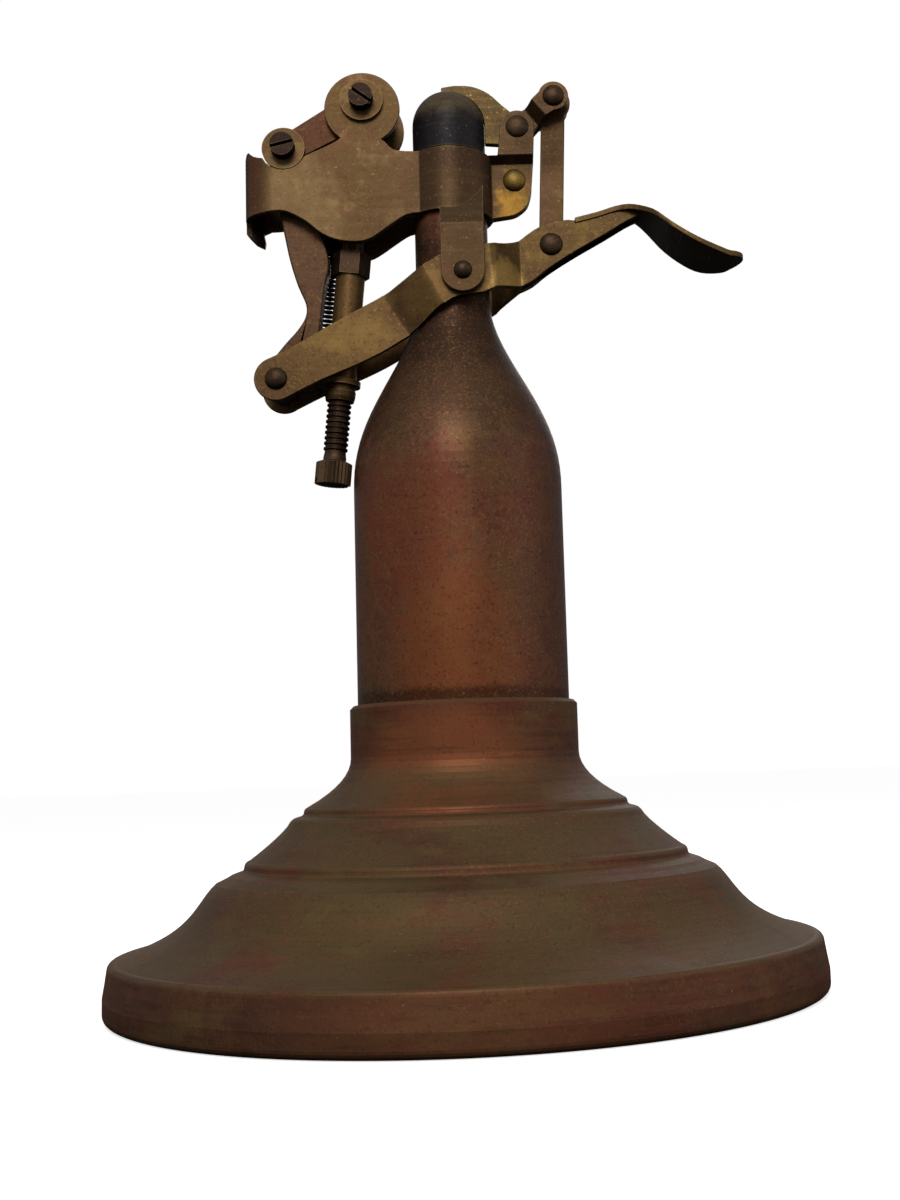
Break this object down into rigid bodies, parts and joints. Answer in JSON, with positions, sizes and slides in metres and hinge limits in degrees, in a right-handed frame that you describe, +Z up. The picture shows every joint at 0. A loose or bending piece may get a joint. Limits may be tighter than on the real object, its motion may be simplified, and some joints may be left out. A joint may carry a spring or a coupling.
{
  "type": "table lighter",
  "caption": "Bottle-shaped table lighter on a round base; a thumb lever spins the flint wheel and lifts the snuffer cap off the wick.",
  "frame": {"origin": "centre of the round base on the table", "axes": "+Z up along the tank, +X towards the thumb lever, -Y towards the viewer"},
  "size_m": [0.104, 0.104, 0.1406],
  "materials": {
    "patinated_copper": "reddish-brown patina",
    "aged_brass": "brown patina, brighter at the edges",
    "worn_brass": "rubbed bright",
    "darkened_cap": "blue-black",
    "dark_steel": "oiled",
    "iron_weight": "as cast",
    "flint_metal": "grey",
    "felt": "felt",
    "cotton": "cotton",
    "cork": "soft seal"
  },
  "bodies": {
    "stand": {"base_shell": "patinated_copper", "base_weight": "iron_weight", "base_plate": "patinated_copper", "base_felt": "felt", "tank_shell": "patinated_copper", "tank_bottom": "patinated_copper", "filler_plug": "aged_brass", "cotton_packing": "cotton", "wick": "cotton", "wick_tube": "aged_brass", "frame_strap": "aged_brass", "strap_rivet": "worn_brass", "flint_guide": "aged_brass", "axle_screw": "aged_brass", "axle_washer": "aged_brass", "axle_nut": "aged_brass", "return_spring": "dark_steel", "spring_anchor": "aged_brass", "flint_tube": "aged_brass", "flint_tube_nut": "aged_brass", "flint": "flint_metal", "flint_follower": "aged_brass", "flint_spring": "dark_steel", "lever_rivets": "aged_brass", "cap_rivet": "aged_brass"},
    "lever": {"lever": "aged_brass", "push_rod_rivet": "aged_brass", "link_rivet_lower": "aged_brass"},
    "push_rod": {"push_rod": "patinated_copper"},
    "crank": {"crank_arm_front": "patinated_copper", "crank_arm_rear": "patinated_copper", "crank_screw": "aged_brass", "crank_washer": "aged_brass", "crank_nut": "aged_brass", "pawl_pin": "dark_steel", "pawl_spring": "dark_steel", "spring_post": "dark_steel"},
    "wheel": {"flint_wheel": "dark_steel", "ratchet_wheel": "dark_steel"},
    "pawl": {"pawl": "dark_steel"},
    "link": {"link": "aged_brass"},
    "cap": {"snuffer_cap": "darkened_cap", "cap_pad": "cork", "cap_arm": "worn_brass", "lug_front": "patinated_copper", "lug_rear": "patinated_copper", "link_rivet_upper": "aged_brass"},
    "flint_screw": {"flint_screw": "aged_brass"}
  },
  "joints": [
    {"name": "lever_press", "type": "hinge", "parent": "stand", "child": "lever", "pos_m": [0.0019, 0, 0.1072], "axis": [0, 1, 0], "range_deg": [0, 19], "stiffness_Nm_per_rad": 0.3, "springref_deg": -14.32},
    {"name": "crank_turn", "type": "hinge", "parent": "stand", "child": "crank", "pos_m": [-0.0131, 0, 0.1357], "axis": [0, 1, 0], "range_deg": [0, 41.9], "deforming": ["return_spring"]},
    {"name": "wheel_spin", "type": "hinge", "parent": "stand", "child": "wheel", "pos_m": [-0.0131, 0, 0.1357], "axis": [0, 1, 0], "range_deg": [0, 41.9]},
    {"name": "pawl_click", "type": "hinge", "parent": "crank", "child": "pawl", "pos_m": [-0.01903, 0, 0.13389], "axis": [0, -1, 0], "range_deg": [0, 8], "stiffness_Nm_per_rad": 0.00002, "springref_deg": -5.73},
    {"name": "rod_swing", "type": "hinge", "parent": "lever", "child": "push_rod", "pos_m": [-0.02679, 0, 0.0922], "axis": [0, 1, 0], "range_deg": [-16.9, 0]},
    {"name": "link_swing", "type": "hinge", "parent": "lever", "child": "link", "pos_m": [0.0155, 0, 0.1131], "axis": [0, 1, 0], "range_deg": [-17.6, 0]},
    {"name": "cap_lift", "type": "hinge", "parent": "stand", "child": "cap", "pos_m": [0.0108, 0, 0.1321], "axis": [0, 1, 0], "range_deg": [0, 40.2]},
    {"name": "flint_screw_turn", "type": "hinge", "parent": "stand", "child": "flint_screw", "pos_m": [-0.01815, 0, 0.08596], "axis": [0.1011, 0, 0.9949], "continuous": true}
  ],
  "couplings": [
    {"joint": "crank_turn", "follows": "lever_press", "ratio": 2.2},
    {"joint": "wheel_spin", "follows": "lever_press", "ratio": 2.2},
    {"joint": "rod_swing", "follows": "lever_press", "ratio": -0.885},
    {"joint": "link_swing", "follows": "lever_press", "ratio": -0.925},
    {"joint": "cap_lift", "follows": "lever_press", "ratio": 2.11}
  ]
}
